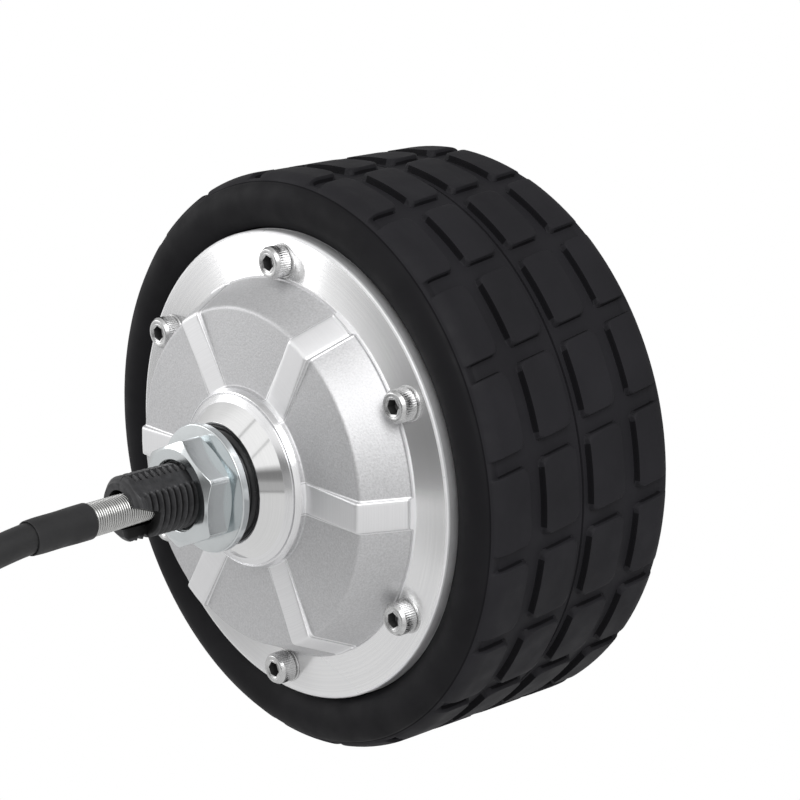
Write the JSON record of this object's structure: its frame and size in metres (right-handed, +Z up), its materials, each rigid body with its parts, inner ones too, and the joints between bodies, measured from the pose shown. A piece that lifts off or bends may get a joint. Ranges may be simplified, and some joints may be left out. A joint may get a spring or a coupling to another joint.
{
  "type": "hub motor drive wheel",
  "caption": "Small robot drive wheel with block-tread rubber tyre, hub motor under a ribbed aluminium cover, and a hollow threaded axle with its cable.",
  "frame": {"origin": "on the spin axis, in the outer face of the axle's nut, where the free end of the axle begins", "axes": "-Y along the axle away from the wheel, +Z up, and the tyre stands on the plane z = -63.5 mm"},
  "size_m": [0.1355, 0.2429, 0.127],
  "materials": {
    "tread_rubber": "matt black moulded rubber",
    "seal_rubber": "smooth black rubber",
    "cast_aluminium": "sand-textured casting with turned bright faces",
    "turned_aluminium": "fine turning marks",
    "screw_steel": "bright stainless steel",
    "zinc_steel": "bright zinc plating",
    "black_steel": "black oxide",
    "rotor_steel": "plain steel",
    "magnet_plating": "nickel plating",
    "bearing_steel": "ground steel",
    "cage_brass": "pressed cage",
    "lamination_steel": "stamped plates",
    "insulator_nylon": "natural nylon",
    "copper_wire": "enamelled copper",
    "board_green": "green solder mask",
    "chip_black": "moulded black",
    "lead_yellow": "yellow lead insulation",
    "lead_grey": "grey sheath",
    "spring_steel": "bright spring wire",
    "sleeve_black": "shrunk tubing",
    "cable_black": "matt cable jacket",
    "tie_nylon": "black nylon",
    "plug_plastic": "moulded black",
    "contact_gold": "gilt contacts"
  },
  "bodies": {
    "axle_assembly": {"axle": "black_steel", "axle_nut": "zinc_steel", "axle_washer": "zinc_steel", "axle_spacer": "bearing_steel", "stator_key": "rotor_steel", "stator_hub": "turned_aluminium", "stator_core": "lamination_steel", "stator_insulators": "insulator_nylon", "stator_windings": "copper_wire", "hall_board": "board_green", "hall_sensors": "chip_black", "phase_leads": "lead_yellow", "signal_lead": "lead_grey", "front_bearing_inner": "bearing_steel", "rear_bearing_inner": "bearing_steel", "spring_guard": "spring_steel", "cable_sleeve": "sleeve_black", "cable": "cable_black", "cable_coil": "cable_black", "cable_tail": "cable_black", "coil_ties": "tie_nylon", "plug_boot": "plug_plastic", "plug_body": "plug_plastic", "plug_contacts": "contact_gold"},
    "wheel": {"tyre": "tread_rubber", "rim": "turned_aluminium", "front_cover": "cast_aluminium", "cover_screws": "screw_steel", "cover_screw_washers": "screw_steel", "cover_o_ring": "seal_rubber", "rear_cap": "chip_black", "shaft_seal": "seal_rubber", "rotor_ring": "rotor_steel", "magnets": "magnet_plating", "front_bearing_outer": "bearing_steel", "front_bearing_shields": "seal_rubber", "rear_bearing_outer": "bearing_steel", "rear_bearing_shields": "seal_rubber"},
    "front_ball_set": {"front_bearing_balls": "bearing_steel", "front_bearing_cage": "cage_brass"},
    "rear_ball_set": {"rear_bearing_balls": "bearing_steel", "rear_bearing_cage": "cage_brass"}
  },
  "joints": [
    {"name": "wheel_spin", "type": "hinge", "parent": "axle_assembly", "child": "wheel", "pos_m": [0, 0.0572, 0], "axis": [0, -1, 0], "continuous": true},
    {"name": "front_balls_spin", "type": "hinge", "parent": "axle_assembly", "child": "front_ball_set", "pos_m": [0, 0.0572, 0], "axis": [0, -1, 0], "continuous": true},
    {"name": "rear_balls_spin", "type": "hinge", "parent": "axle_assembly", "child": "rear_ball_set", "pos_m": [0, 0.0572, 0], "axis": [0, -1, 0], "continuous": true}
  ],
  "couplings": [
    {"joint": "front_balls_spin", "follows": "wheel_spin", "ratio": 0.6},
    {"joint": "rear_balls_spin", "follows": "wheel_spin", "ratio": 0.6175}
  ]
}
